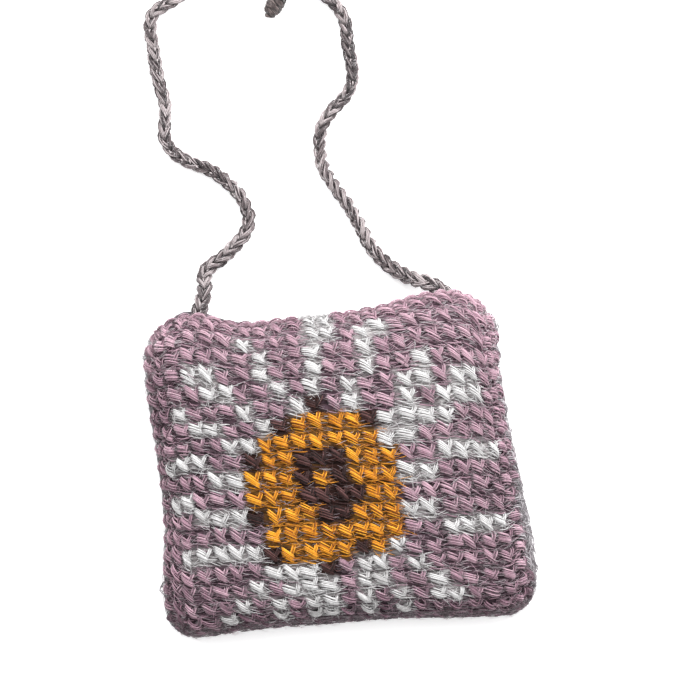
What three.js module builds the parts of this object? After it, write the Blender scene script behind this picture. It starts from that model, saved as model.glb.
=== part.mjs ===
// A necklace pouch lying on its back. Two crocheted panels meet along both sides and the foot and stay open
// along the mouth. A chain-stitched neck cord leaves the two mouth corners, and a knot closes its loop.
// Millimetres, +Z up. X runs across the pouch and +Y from its foot to its mouth. The origin lies under its
// middle, on the surface that it rests on.
import * as THREE from "three";

const { clamp, degToRad, lerp } = THREE.MathUtils;

// Fabric and gaps
const WALL = 2.8; // crocheted fabric with the spare yarns carried inside it
const SEAM_GAP = 0.4; // between the two panels along their seam
const SEAT_GAP = 0.3; // between the cord and what it meets

// Heights of the filled pouch
const WAIST = 6; // height of the widest outline
const SHOULDER_RISE = 12.5; // from the waist to the front's shoulders
const CROWN_RISE = 3.5; // from the shoulders to the front's middle

// Rounds at the edges
const EDGE_ROUND = 8; // how far in from the outline the edges are round
const LIP_ANGLE = degToRad(35); // how far short of upright the front's lip stops
const CORNERS = { footLeft: 9, footRight: 10, mouthLeft: 13, mouthRight: 15 };

// The sides seen from above, from the foot to the mouth
const SIDES = [
  { y: -47, left: -52.9, right: 52.9 },
  { y: -30, left: -53.4, right: 53.4 },
  { y: -12, left: -51.4, right: 51.6 },
  { y: 5, left: -51.9, right: 49.4 },
  { y: 20, left: -53.0, right: 48.2 },
  { y: 33, left: -53.4, right: 48.2 },
  { y: 47, left: -53.0, right: 48.0 },
];

// The foot's line and the two lips' lines seen from above, from left to right
const ENDS = [
  { x: -46, foot: -46.0, frontLip: 46.3, backLip: 46.8 },
  { x: -37, foot: -45.5, frontLip: 46.4, backLip: 46.9 },
  { x: -27, foot: -45.0, frontLip: 43.4, backLip: 43.2 },
  { x: -8, foot: -45.2, frontLip: 43.2, backLip: 42.8 },
  { x: 14, foot: -45.4, frontLip: 44.2, backLip: 43.8 },
  { x: 27, foot: -46.4, frontLip: 46.6, backLip: 46.3 },
  { x: 40, foot: -47.3, frontLip: 47.3, backLip: 47.0 },
];

// How far the seam climbs above the waist on each side, in degrees round the edge
const SEAM = [
  { y: -44, left: 0, right: 0 },
  { y: -38, left: -8, right: 26 },
  { y: -28, left: -15, right: 51 },
  { y: -9, left: -15, right: 33 },
  { y: 5, left: -15, right: 26 },
  { y: 22, left: -15, right: 16 },
  { y: 46, left: 0, right: 0 },
];

// Soft dents in the front, and swellings where they are negative
const FOLDS = [
  { name: "slack mouth", x: -6, y: 37, wide: 20, tall: 9, deep: 1.4 },
  { name: "pull of the left cord", x: -29, y: 40, wide: 5, tall: 9, deep: 1.2 },
  { name: "left ear", x: -43, y: 36, wide: 8, tall: 8, deep: -1.1 },
  { name: "right ear", x: 38, y: 38, wide: 8, tall: 8, deep: -1.1 },
  { name: "left hollow", x: -46, y: -10, wide: 7, tall: 10, deep: 1.0 },
  { name: "right hollow", x: 43, y: 12, wide: 7, tall: 14, deep: 0.9 },
];

// Neck cord
const CORD_DIAMETER = 3.6;
const CORD_SIDES = 8;
const CORD_STEP = 2.05; // diameters between the tube's rings
const FLOOR_GAP = 0.05;
const FLOOR_Z = CORD_DIAMETER / 2 + FLOOR_GAP;
const SEAT_Z = WALL + SEAT_GAP + CORD_DIAMETER / 2; // on the inside of the back
const KNOT_Z = 3.2; // where the cord enters the knot

// The cord's middle line from the left mouth corner, round the neck, to the knot: x, y and height
const LONG_ROUTE = [
  [-37.6, 41.8, SEAT_Z],
  [-36.5, 46.0, SEAT_Z],
  [-34.7, 51.0, 4.3],
  [-34.0, 54.6, 2.6],
  [-33.9, 57.2, FLOOR_Z],
  [-31.9, 59.6, FLOOR_Z],
  [-28.2, 61.6, FLOOR_Z],
  [-24.5, 64.7, FLOOR_Z],
  [-21.0, 68.4, FLOOR_Z],
  [-19.8, 72.9, FLOOR_Z],
  [-21.3, 77.9, FLOOR_Z],
  [-24.7, 82.5, FLOOR_Z],
  [-29.2, 86.6, FLOOR_Z],
  [-35.2, 89.7, FLOOR_Z],
  [-39.8, 93.0, FLOOR_Z],
  [-41.8, 96.9, FLOOR_Z],
  [-41.3, 101.7, FLOOR_Z],
  [-40.9, 106.3, FLOOR_Z],
  [-41.7, 110.9, FLOOR_Z],
  [-42.6, 116.8, FLOOR_Z],
  [-42.9, 123.4, FLOOR_Z],
  [-43.2, 129.1, FLOOR_Z],
  [-41.9, 132.9, FLOOR_Z],
  [-38.5, 134.9, FLOOR_Z],
  [-33.8, 137.2, FLOOR_Z],
  [-30.2, 142.0, FLOOR_Z],
  [-31.0, 151.5, FLOOR_Z],
  [-38.0, 164.0, FLOOR_Z],
  [-46.5, 179.0, FLOOR_Z],
  [-50.6, 198.0, FLOOR_Z],
  [-46.5, 219.0, FLOOR_Z],
  [-31.0, 237.5, FLOOR_Z],
  [-6.0, 246.0, FLOOR_Z],
  [21.0, 242.5, FLOOR_Z],
  [42.0, 227.5, FLOOR_Z],
  [51.0, 206.0, FLOOR_Z],
  [47.5, 184.5, FLOOR_Z],
  [35.0, 168.0, FLOOR_Z],
  [17.0, 156.0, 2.2],
  [3.4, 144.5, KNOT_Z],
];

// The cord's middle line from the right mouth corner to the knot: x, y and height
const SHORT_ROUTE = [
  [35.4, 43.6, SEAT_Z],
  [32.6, 47.3, SEAT_Z],
  [28.9, 49.6, 4.6],
  [22.9, 52.3, 2.4],
  [17.8, 56.4, FLOOR_Z],
  [13.9, 61.6, FLOOR_Z],
  [11.4, 67.8, FLOOR_Z],
  [8.2, 74.4, FLOOR_Z],
  [4.9, 79.9, FLOOR_Z],
  [2.6, 84.7, FLOOR_Z],
  [2.1, 90.5, FLOOR_Z],
  [3.1, 96.1, FLOOR_Z],
  [6.5, 100.8, FLOOR_Z],
  [10.6, 104.4, FLOOR_Z],
  [12.9, 108.6, FLOOR_Z],
  [13.1, 113.9, FLOOR_Z],
  [12.5, 120.0, FLOOR_Z],
  [12.4, 125.5, FLOOR_Z],
  [10.7, 129.9, FLOOR_Z],
  [7.4, 133.6, 2.2],
  [3.4, 137.3, KNOT_Z],
];

// Knot and free end
const KNOT = { x: -0.1, y: 140.9, wide: 9.6, long: 9.0, high: 7.0 };
const TAIL = { tipX: -7.7, tipY: 128.9, diameter: 4.6 };

// Facets
const ACROSS = 26;
const ALONG = 22;
const TIP_RINGS = 4;
const ROUND_SIDES = 12;

const QUARTER = Math.PI / 2;
const LIP_REACH = EDGE_ROUND * Math.cos(LIP_ANGLE);
const MEAN_LENGTH = 91; // foot to mouth, and side to side, for sharing out the facets
const MEAN_WIDTH = 103;
const FAR = 100; // beyond any corner

// A smooth function through one column of a table
function column(rows, by, name) {
  const places = rows.map((row) => row[by]);
  const values = rows.map((row) => row[name]);
  const spline = new THREE.CubicInterpolant(places, values, 1);
  return (place) => spline.evaluate(place)[0];
}

const leftSide = column(SIDES, "y", "left");
const rightSide = column(SIDES, "y", "right");
const footLine = column(ENDS, "x", "foot");
const seamLeft = column(SEAM, "y", "left");
const seamRight = column(SEAM, "y", "right");

// How far a corner's arc has turned in, at a reach past its centre and at most half-way round
function arcInset(reach, radius) {
  const along = clamp(reach, 0, radius * Math.SQRT1_2);
  return radius - Math.sqrt(radius * radius - along * along);
}

// The outline seen from above, taken in by a depth for the inside of the wall
function outline(lipLine, depth) {
  const corner = (name) => CORNERS[name] - depth;
  const centre = {
    footLeft: { x: leftSide(-FAR) + CORNERS.footLeft, y: footLine(-FAR) + CORNERS.footLeft },
    footRight: { x: rightSide(-FAR) - CORNERS.footRight, y: footLine(FAR) + CORNERS.footRight },
    mouthLeft: { x: leftSide(FAR) + CORNERS.mouthLeft, y: lipLine(-FAR) - CORNERS.mouthLeft },
    mouthRight: { x: rightSide(FAR) - CORNERS.mouthRight, y: lipLine(FAR) - CORNERS.mouthRight },
  };
  return {
    left: (y) =>
      leftSide(y) +
      depth +
      arcInset(centre.footLeft.y - y, corner("footLeft")) +
      arcInset(y - centre.mouthLeft.y, corner("mouthLeft")),
    right: (y) =>
      rightSide(y) -
      depth -
      arcInset(centre.footRight.y - y, corner("footRight")) -
      arcInset(y - centre.mouthRight.y, corner("mouthRight")),
    foot: (x) =>
      footLine(x) +
      depth +
      arcInset(centre.footLeft.x - x, corner("footLeft")) +
      arcInset(x - centre.footRight.x, corner("footRight")),
    mouth: (x) =>
      lipLine(x) -
      arcInset(centre.mouthLeft.x - x, corner("mouthLeft")) -
      arcInset(x - centre.mouthRight.x, corner("mouthRight")),
  };
}

// Where a share t of the way from foot to mouth lies: on the foot's round, the flat or the lip's round
function alongStation(t) {
  const footArc = EDGE_ROUND * QUARTER;
  const lipArc = EDGE_ROUND * (QUARTER - LIP_ANGLE);
  const flat = MEAN_LENGTH - EDGE_ROUND - LIP_REACH;
  const run = t * (footArc + flat + lipArc);
  if (run < footArc) return { zone: "foot", angle: run / EDGE_ROUND };
  if (run < footArc + flat) return { zone: "flat", angle: QUARTER, share: (run - footArc) / flat };
  return { zone: "lip", angle: QUARTER - (run - footArc - flat) / EDGE_ROUND };
}

// The y of such a place between a foot and a mouth, with the lip taken in by its own depth
function alongY(station, foot, mouth, depth, lipDepth) {
  const footRound = EDGE_ROUND - depth;
  if (station.zone === "foot") return foot + footRound * (1 - Math.cos(station.angle));
  if (station.zone === "flat") return lerp(foot + footRound, mouth - LIP_REACH, station.share);
  return mouth - LIP_REACH + (EDGE_ROUND - lipDepth) * Math.cos(station.angle);
}

// Where a share u of the way from the left seam to the right lies: on a side's round or the flat.
// The angle is counted round the edge from the waist, up for the front and down for the back.
function acrossStation(u, leftAngle, rightAngle, turn) {
  const leftArc = EDGE_ROUND * (QUARTER - turn * leftAngle);
  const rightArc = EDGE_ROUND * (QUARTER - turn * rightAngle);
  const flat = MEAN_WIDTH - 2 * EDGE_ROUND;
  const total = leftArc + flat + rightArc;
  const run = u * total;
  if (run < leftArc) return { zone: "left", angle: leftAngle + (turn * run) / EDGE_ROUND };
  if (run <= leftArc + flat) return { zone: "flat", angle: turn * QUARTER, share: (run - leftArc) / flat };
  return { zone: "right", angle: rightAngle + (turn * (total - run)) / EDGE_ROUND };
}

// The x of such a place between two sides
function acrossX(station, left, right, depth) {
  const round = EDGE_ROUND - depth;
  if (station.zone === "left") return left + round * (1 - Math.cos(station.angle));
  if (station.zone === "flat") return lerp(left + round, right - round, station.share);
  return right - round * (1 - Math.cos(station.angle));
}

// Rise of the front above the waist, with its dents and swellings
function frontRise(x, y) {
  const halfWidth = MEAN_WIDTH / 2;
  const halfLength = MEAN_LENGTH / 2;
  const crown = Math.max(0, 1 - (x / halfWidth) ** 2) * Math.max(0, 1 - (y / halfLength) ** 2);
  const dents = FOLDS.map((fold) => {
    const across = (x - fold.x) / fold.wide;
    const up = (y - fold.y) / fold.tall;
    return fold.deep * Math.exp(-across * across - up * up);
  });
  return SHOULDER_RISE + CROWN_RISE * crown - dents.reduce((sum, dent) => sum + dent, 0);
}

// A point of a panel at shares u across and t along, on its outside (depth 0) or its inside (depth WALL)
function panelPoint(panel, u, t, depth) {
  const shape = outline(panel.lipLine, depth);
  const lipDepth = panel.rolledLip ? depth : 0;
  const station = alongStation(t);
  const leftY = alongY(station, shape.foot(-FAR), shape.mouth(-FAR), depth, lipDepth);
  const rightY = alongY(station, shape.foot(FAR), shape.mouth(FAR), depth, lipDepth);
  const leftAngle = degToRad(seamLeft(leftY));
  const rightAngle = degToRad(seamRight(rightY));
  const place = acrossStation(u, leftAngle, rightAngle, panel.turn);
  const x = acrossX(place, shape.left(leftY), shape.right(rightY), depth);
  const y = alongY(station, shape.foot(x), shape.mouth(x), depth, lipDepth);
  const turned = Math.sin(place.angle);
  const rounded = Math.sin(station.angle);
  if (turned >= 0) return new THREE.Vector3(x, y, WAIST + (frontRise(x, y) - depth) * turned * rounded);
  const backRounded = station.zone === "foot" ? rounded : 1;
  return new THREE.Vector3(x, y, WAIST + (WAIST - depth) * turned * backRounded);
}

// A panel as a closed wall: its outside, its inside and the rim between them
function panelGeometry(panel) {
  const points = [];
  for (const depth of [0, WALL]) {
    for (let j = 0; j <= ALONG; j++) {
      for (let i = 0; i <= ACROSS; i++) points.push(panelPoint(panel, i / ACROSS, j / ALONG, depth));
    }
  }
  const inside = (ACROSS + 1) * (ALONG + 1);
  const at = (i, j) => j * (ACROSS + 1) + i;
  const faces = [];
  const quad = (a, b, c, d) => {
    if (panel.turn > 0) faces.push(a, b, c, a, c, d);
    else faces.push(a, c, b, a, d, c);
  };
  for (let j = 0; j < ALONG; j++) {
    for (let i = 0; i < ACROSS; i++) {
      const [a, b, c, d] = [at(i, j), at(i + 1, j), at(i + 1, j + 1), at(i, j + 1)];
      quad(a, b, c, d);
      quad(inside + a, inside + d, inside + c, inside + b);
    }
  }
  const rim = (p, q) => quad(p, inside + p, inside + q, q);
  for (let i = 0; i < ACROSS; i++) {
    rim(at(i, 0), at(i + 1, 0));
    rim(at(i + 1, ALONG), at(i, ALONG));
  }
  for (let j = 0; j < ALONG; j++) {
    rim(at(ACROSS, j), at(ACROSS, j + 1));
    rim(at(0, j + 1), at(0, j));
  }
  const geometry = new THREE.BufferGeometry().setFromPoints(points);
  geometry.setIndex(faces);
  geometry.computeVertexNormals();
  return geometry;
}

// A round cord along a route
function cordGeometry(route) {
  const path = new THREE.CatmullRomCurve3(route.map((point) => new THREE.Vector3(...point)));
  const ring = [];
  for (let k = 0; k < CORD_SIDES; k++) {
    const angle = (k + 0.5) * ((2 * Math.PI) / CORD_SIDES);
    const radius = CORD_DIAMETER / 2;
    ring.push(new THREE.Vector2(radius * Math.cos(angle), radius * Math.sin(angle)));
  }
  const steps = Math.round(path.getLength() / (CORD_STEP * CORD_DIAMETER));
  return new THREE.ExtrudeGeometry(new THREE.Shape(ring), { steps, extrudePath: path, bevelEnabled: false });
}

// The knot's outer form
function knotGeometry() {
  const ball = new THREE.SphereGeometry(1, ROUND_SIDES, ROUND_SIDES / 2);
  return ball.scale(KNOT.wide / 2, KNOT.long / 2, KNOT.high / 2);
}

// A free end of a given length along +Y, flat at the knot and round at its tip
function tailGeometry(length) {
  const radius = TAIL.diameter / 2;
  const profile = [new THREE.Vector2(0, 0), new THREE.Vector2(radius, 0)];
  for (let k = 0; k <= TIP_RINGS; k++) {
    const angle = (k / TIP_RINGS) * QUARTER;
    const out = k === TIP_RINGS ? 0 : radius * Math.cos(angle);
    profile.push(new THREE.Vector2(out, length - radius + radius * Math.sin(angle)));
  }
  return new THREE.LatheGeometry(profile, ROUND_SIDES);
}

function yarn(color) {
  return new THREE.MeshStandardMaterial({ color, roughness: 0.95, metalness: 0 });
}

const frontYarn = yarn(0xa98a96);
const backYarn = yarn(0x8f858c);
const cordYarn = yarn(0x94868b);
const tailYarn = yarn(0x70645c);

const pouch = new THREE.Group();

function add(name, geometry, material) {
  const mesh = new THREE.Mesh(geometry, material);
  mesh.name = name;
  pouch.add(mesh);
  return mesh;
}

const front = { turn: 1, rolledLip: true, lipLine: column(ENDS, "x", "frontLip") };
const back = { turn: -1, rolledLip: false, lipLine: column(ENDS, "x", "backLip") };
add("front_panel", panelGeometry(front), frontYarn).position.z = SEAM_GAP;
add("back_panel", panelGeometry(back), backYarn);

add("neck_cord_long", cordGeometry(LONG_ROUTE), cordYarn);
add("neck_cord_short", cordGeometry(SHORT_ROUTE), cordYarn);

const knot = add("cord_knot", knotGeometry(), cordYarn);
knot.position.set(KNOT.x, KNOT.y, KNOT.high / 2 + FLOOR_GAP);

const tip = new THREE.Vector2(TAIL.tipX, TAIL.tipY);
const tailWay = tip.clone().sub(new THREE.Vector2(KNOT.x, KNOT.y));
const tailStart = Math.min(KNOT.wide, KNOT.long) / 2 + SEAT_GAP;
const tail = add("cord_tail", tailGeometry(tailWay.length() - tailStart), tailYarn);
tailWay.normalize();
tail.rotation.z = Math.atan2(-tailWay.x, tailWay.y);
tail.position.set(
  KNOT.x + tailStart * tailWay.x,
  KNOT.y + tailStart * tailWay.y,
  TAIL.diameter / 2 + FLOOR_GAP,
);

export default pouch;
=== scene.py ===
import math

import bpy
import numpy as np
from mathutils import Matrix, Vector


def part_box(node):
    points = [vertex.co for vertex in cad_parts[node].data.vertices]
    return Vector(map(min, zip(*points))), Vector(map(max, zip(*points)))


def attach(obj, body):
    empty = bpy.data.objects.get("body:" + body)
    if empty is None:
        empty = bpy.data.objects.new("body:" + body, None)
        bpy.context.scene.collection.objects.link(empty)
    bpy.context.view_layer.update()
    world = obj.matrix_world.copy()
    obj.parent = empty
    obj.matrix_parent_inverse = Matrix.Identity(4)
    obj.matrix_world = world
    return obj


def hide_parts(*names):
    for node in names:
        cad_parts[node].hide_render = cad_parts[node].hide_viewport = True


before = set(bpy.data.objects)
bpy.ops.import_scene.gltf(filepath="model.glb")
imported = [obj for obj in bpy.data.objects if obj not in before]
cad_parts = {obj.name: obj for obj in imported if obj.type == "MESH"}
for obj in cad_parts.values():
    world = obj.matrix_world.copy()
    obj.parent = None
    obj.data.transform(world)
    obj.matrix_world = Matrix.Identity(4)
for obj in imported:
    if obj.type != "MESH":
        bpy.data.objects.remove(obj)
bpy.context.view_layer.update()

SEED = 11
TURN = 2 * math.pi
QUARTER = math.pi / 2
UP = np.array([0.0, 0.0, 1.0])
TINY = 1e-18


def table(names, *rows):
    """Rows of values under named columns."""
    return [dict(zip(names.split(), row)) for row in rows]


# Form of the pouch, as in the solid model
WALL = 0.0028
SEAM_GAP = 0.0004
WAIST = 0.006
SHOULDER_RISE = 0.0125
CROWN_RISE = 0.0035
EDGE_ROUND = 0.008
LIP_ANGLE = math.radians(35)
LIP_REACH = EDGE_ROUND * math.cos(LIP_ANGLE)
HALF_WIDTH = 0.0515
HALF_LENGTH = 0.0455
MIDDLE_LENGTH = 0.0887
FAR = 1.0
CORNERS = {"foot_left": 0.009, "foot_right": 0.010, "mouth_left": 0.013, "mouth_right": 0.015}

# The sides seen from above, from the foot to the mouth
SIDES = table(
    "y left right",
    (-0.047, -0.0529, 0.0529),
    (-0.030, -0.0534, 0.0534),
    (-0.012, -0.0514, 0.0516),
    (0.005, -0.0519, 0.0494),
    (0.020, -0.0530, 0.0482),
    (0.033, -0.0534, 0.0482),
    (0.047, -0.0530, 0.0480),
)

# The foot's line and the two lips' lines seen from above, from left to right
ENDS = table(
    "x foot front_lip back_lip",
    (-0.046, -0.0460, 0.0463, 0.0468),
    (-0.037, -0.0455, 0.0464, 0.0469),
    (-0.027, -0.0450, 0.0434, 0.0432),
    (-0.008, -0.0452, 0.0432, 0.0428),
    (0.014, -0.0454, 0.0442, 0.0438),
    (0.027, -0.0464, 0.0466, 0.0463),
    (0.040, -0.0473, 0.0473, 0.0470),
)

# How far the seam climbs above the waist on each side, in degrees round the edge
SEAM = table(
    "y left right",
    (-0.044, 0, 0),
    (-0.038, -8, 26),
    (-0.028, -15, 51),
    (-0.009, -15, 33),
    (0.005, -15, 26),
    (0.022, -15, 16),
    (0.046, 0, 0),
)

# Soft dents in the front, and swellings where they are negative
FOLDS = table(
    "x y wide tall deep",
    (-0.006, 0.037, 0.020, 0.009, 0.0014),
    (-0.029, 0.040, 0.005, 0.009, 0.0012),
    (-0.043, 0.036, 0.008, 0.008, -0.0011),
    (0.038, 0.038, 0.008, 0.008, -0.0011),
    (-0.046, -0.010, 0.007, 0.010, 0.0010),
    (0.043, 0.012, 0.007, 0.014, 0.0009),
)

# Stitch grid: columns count from the front's left, rows from the mouth down
COLUMN = 0.0050
ROW = 0.00506
FLAT_FIRST = 1.06
FLAT_LAST = 19.06
LIP_ROWS = 6

# The daisy, charted: the columns of each yarn in a row, the rest being mauve
DAISY = table(
    "row white orange brown",
    (0, "9-10"),
    (1, "5 9-10 12-13"),
    (2, "6 9 12"),
    (3, "2-3 6 9 12 15"),
    (4, "3-4 7 9 11 14-15 17-18"),
    (5, "1 5 8 11 14 16-18", "", "9"),
    (6, "2-3 6 13-16", "8-11", "7 12"),
    (7, "4-5 13-14", "6-12"),
    (8, "0-2 16-19", "6-7 11-13", "5 8-10"),
    (9, "3-4 14-15", "5-7 9 11-13", "8 10"),
    (10, "0-1", "5-7 12-13", "8-11"),
    (11, "2-4 14-15", "6-8 11-13", "5 9-10"),
    (12, "16-19", "6-13"),
    (13, "1-5 13", "7-10 12", "6 11"),
    (14, "6-8 11-12 14", "", "9"),
    (15, "5 7-9 11-12 15"),
    (16, "4 6 8-9 11 13 15-16"),
    (17, "3 6 8-9 11 13"),
)

# Where the worked stitches have slid from the even grid, in stitches
DRIFTS = table(
    "column row wide tall right down",
    (16.5, 4.8, 4.5, 4.8, 1.05, 0.52),
    (10.0, 2.0, 4.0, 4.0, 0.36, -0.10),
    (3.5, 11.0, 4.0, 4.0, -0.40, 0.10),
    (6.0, 0.5, 5.0, 1.5, 0.25, 0.35),
    (2.5, 4.5, 1.8, 2.5, 0.05, 0.50),
    (14.5, 12.0, 5.0, 3.5, 0.05, 0.45),
    (7.0, 14.5, 3.5, 2.5, -0.10, 0.38),
    (12.0, 14.0, 2.5, 2.5, -0.20, 0.00),
    (13.5, 9.5, 2.2, 4.0, -0.35, 0.00),
    (5.2, 9.5, 1.2, 3.0, 0.25, 0.00),
)
RIM_DRIFT = 0.35

# A slanted stitch: across and up in stitches, and height above the fabric's middle
LONG_LEG = table(
    "across up height",
    (-0.38, 0.20, -0.0003),
    (-0.28, 0.16, 0.0006),
    (-0.07, 0.04, 0.0010),
    (0.13, -0.09, 0.0009),
    (0.28, -0.19, 0.0003),
    (0.37, -0.26, -0.0005),
)
SHORT_LEG = table(
    "across up height",
    (0.41, 0.38, -0.0005),
    (0.38, 0.28, 0.0003),
    (0.33, 0.15, 0.0007),
    (0.26, 0.01, 0.0008),
    (0.17, -0.12, 0.0005),
    (0.09, -0.22, -0.0003),
)
LOW_STRAND = table(
    "across up height",
    (-0.46, -0.32, -0.0005),
    (-0.22, -0.39, -0.0001),
    (0.06, -0.46, 0.0000),
    (0.30, -0.51, -0.0001),
    (0.48, -0.50, -0.0005),
)

# How the plies of each part of a stitch spread: half widths at its two ends, rise of its middle, tones
PART_COLUMNS = "points stacked plies top low crown dark light"
FRONT_PARTS = table(
    PART_COLUMNS,
    (LONG_LEG, True, 7, 0.00100, 0.00080, 0.00055, 0.05, 1.0),
    (SHORT_LEG, False, 3, 0.00034, 0.00025, 0.00030, 0.0, 0.7),
    # The low strand's tones stay dark as painted shade under the stitch
    (LOW_STRAND, False, 2, 0.00040, 0.00040, 0.00010, 0.0, 0.3),
)
BACK_PARTS = table(
    PART_COLUMNS,
    (LONG_LEG, True, 4, 0.00105, 0.00085, 0.00040, 0.05, 1.0),
    (SHORT_LEG, False, 2, 0.00035, 0.00030, 0.00015, 0.05, 0.9),
)

# A link's right leg and back bump: along in links, aside and height in cord radii
LINK_LEG = table(
    "along aside height",
    (-0.30, -0.06, 0.20),
    (-0.05, 0.08, 0.58),
    (0.28, 0.38, 0.62),
    (0.64, 0.62, 0.38),
    (1.00, 0.66, -0.04),
    (1.32, 0.46, -0.40),
    (1.58, 0.12, -0.44),
)
EDGE_LEG = table(
    "along aside height",
    (-0.14, 0.15, -0.90),
    (0.08, 0.66, -0.05),
    (0.42, 0.92, 0.28),
    (0.78, 0.66, 0.05),
    (1.00, 0.15, -0.80),
)
LINK_BUMP = table(
    "along aside height",
    (0.00, -0.68, -0.20),
    (0.20, -0.38, -0.58),
    (0.45, 0.10, -0.68),
    (0.70, 0.50, -0.52),
    (0.90, 0.68, -0.10),
)
CORD_SHAPES = ((LINK_LEG, 1), (LINK_LEG, -1), (LINK_BUMP, 1))
EDGE_SHAPES = ((EDGE_LEG, 1), (EDGE_LEG, -1))

# Neck cord
CORD_DIAMETER = 0.0036
CORD_SWELL = 1.13
LINK_PITCH = 0.0032
LINK_REACH = 1.6
END_REACH = 0.0032
PATH_STEP = 0.0005
LYING = 0.00185

# The cord's middle line from the left mouth corner to the knot, lying where no height is given
LONG_ROUTE = [
    (-0.0376, 0.0418, 0.0049), (-0.0365, 0.0460, 0.0049), (-0.0347, 0.0510, 0.0043),
    (-0.0340, 0.0546, 0.0026), (-0.0339, 0.0572), (-0.0319, 0.0596), (-0.0282, 0.0616), (-0.0245, 0.0647),
    (-0.0210, 0.0684), (-0.0198, 0.0729), (-0.0213, 0.0779), (-0.0247, 0.0825), (-0.0292, 0.0866),
    (-0.0352, 0.0897), (-0.0398, 0.0930), (-0.0418, 0.0969), (-0.0413, 0.1017), (-0.0409, 0.1063),
    (-0.0417, 0.1109), (-0.0426, 0.1168), (-0.0429, 0.1234), (-0.0432, 0.1291), (-0.0419, 0.1329),
    (-0.0385, 0.1349), (-0.0338, 0.1372), (-0.0302, 0.1420), (-0.0310, 0.1515), (-0.0380, 0.1640),
    (-0.0465, 0.1790), (-0.0506, 0.1980), (-0.0465, 0.2190), (-0.0310, 0.2375), (-0.0060, 0.2460),
    (0.0210, 0.2425), (0.0420, 0.2275), (0.0510, 0.2060), (0.0475, 0.1845), (0.0350, 0.1680),
    (0.0170, 0.1560, 0.0022), (0.0034, 0.1445, 0.0032),
]

# The cord's middle line from the right mouth corner to the knot
SHORT_ROUTE = [
    (0.0354, 0.0436, 0.0049), (0.0326, 0.0473, 0.0049), (0.0289, 0.0496, 0.0046), (0.0229, 0.0523, 0.0024),
    (0.0178, 0.0564), (0.0139, 0.0616), (0.0114, 0.0678), (0.0082, 0.0744), (0.0049, 0.0799),
    (0.0026, 0.0847), (0.0021, 0.0905), (0.0031, 0.0961), (0.0065, 0.1008), (0.0106, 0.1044),
    (0.0129, 0.1086), (0.0131, 0.1139), (0.0125, 0.1200), (0.0124, 0.1255), (0.0107, 0.1299),
    (0.0074, 0.1336, 0.0022), (0.0034, 0.1373, 0.0032),
]

# How each cord rolls along its length, in degrees, and the painted light and shade along the stretch that
# shows
LEFT_ROLLS = [0, 40, -30, 60, 10, 80, 150, 120, 40, 0]
RIGHT_ROLLS = [0, 30, 70, 20, -20, 30]
SHOWN_LENGTH = 0.100
LEFT_PAINTED_SHADES = [-0.45, 0.20, -0.18, -0.06, 0.14, 0.14]
RIGHT_PAINTED_SHADES = [0.05, 0.00, 0.15, 0.10, -0.20, -0.35]

# The knot, and the free end beyond it, whose tip shows at the photograph's top edge
KNOT_SIZE = np.array([0.00115, 0.00105, 0.00165])
KNOT_PITCH = 0.0033
KNOT_ROLLS = [0, 120, 240, 360]
KNOT_RADIUS = 0.0016
TAIL_START = (-0.0040, 0.1368, 0.0030)
TAIL_END = (-0.0096, 0.1288, 0.0026)
TAIL_RADII = [0.0004, 0.0012, 0.0017, 0.0019, 0.0019, 0.0018]
TAIL_ROLLS = [20, 60]
TAIL_RADIUS = 0.0023
TAIL_PLY = 0.00022
TAIL_OVERLAP = 0.001
TAIL_BARE = 0.005
TAIL_CORE = 0.0011
CORE_BARE = 0.002
TIP_INSET = 0.0004
WINDINGS = table("turns spread", (4, 0.00050), (-3, 0.00055))
WOUND_SHARE = 0.6
WINDING_STEPS = 80
WINDING_PLIES = 6
WINDING_TWIST = 8.0
WINDING_PLY = 0.00024

# How the photograph frames the pouch
PHOTO_TURN = math.radians(5)
PHOTO_CENTRE = (0.0056, 0.0322)
PHOTO_FIELD = 0.200
CAMERA_HEIGHT = 2.5
SENSOR = 36.0
BRIGHT_SKY = (0.48, 0.72, 0.50)
LIGHT_AIM = Vector((0, 0.03, 0))
LIGHTS = table(
    "name place size power",
    ("key", (0.20, 0.36, 0.34), 0.4, 3.4),
    ("fill", (-0.4, 0.5, 0.9), 0.9, 4.0),
)


def unit(vectors):
    """Vectors brought to length one."""
    return vectors / (np.linalg.norm(vectors, axis=-1, keepdims=True) + TINY)


def stack(*parts):
    """Values side by side as the last axis."""
    return np.stack(np.broadcast_arrays(*parts), axis=-1)


def run_lengths(points):
    """Length along a path up to each of its points."""
    return np.concatenate([[0.0], np.cumsum(np.linalg.norm(np.diff(points, axis=0), axis=1))])


def hermite(w, start, end, start_slope, end_slope):
    """Smooth blend of two values with their slopes."""
    first = (1 + 2 * w) * (1 - w) ** 2 * start + w * (1 - w) ** 2 * start_slope
    last = w * w * (3 - 2 * w) * end + w * w * (w - 1) * end_slope
    return first + last


def spline(rows, by, name):
    """A smooth function through one column of a table."""
    places = np.array([row[by] for row in rows], float)
    values = np.array([row[name] for row in rows], float)
    slopes = np.gradient(values, places)

    def value(at):
        at = np.clip(at, places[0], places[-1])
        k = np.clip(np.searchsorted(places, at) - 1, 0, len(places) - 2)
        span = places[k + 1] - places[k]
        w = (at - places[k]) / span
        return hermite(w, values[k], values[k + 1], span * slopes[k], span * slopes[k + 1])

    return value


left_side = spline(SIDES, "y", "left")
right_side = spline(SIDES, "y", "right")
foot_line = spline(ENDS, "x", "foot")
seam_left = spline(SEAM, "y", "left")
seam_right = spline(SEAM, "y", "right")


def arc_inset(reach, radius):
    """How far a corner's arc has turned in."""
    along = np.clip(reach, 0, radius * math.sqrt(0.5))
    return radius - np.sqrt(radius * radius - along * along)


def corner_insets(at, low, high, low_corner, high_corner):
    """How far the corners at the two ends of a side have turned in."""
    low_radius, high_radius = CORNERS[low_corner], CORNERS[high_corner]
    return arc_inset(low + low_radius - at, low_radius) + arc_inset(at - (high - high_radius), high_radius)


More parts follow.
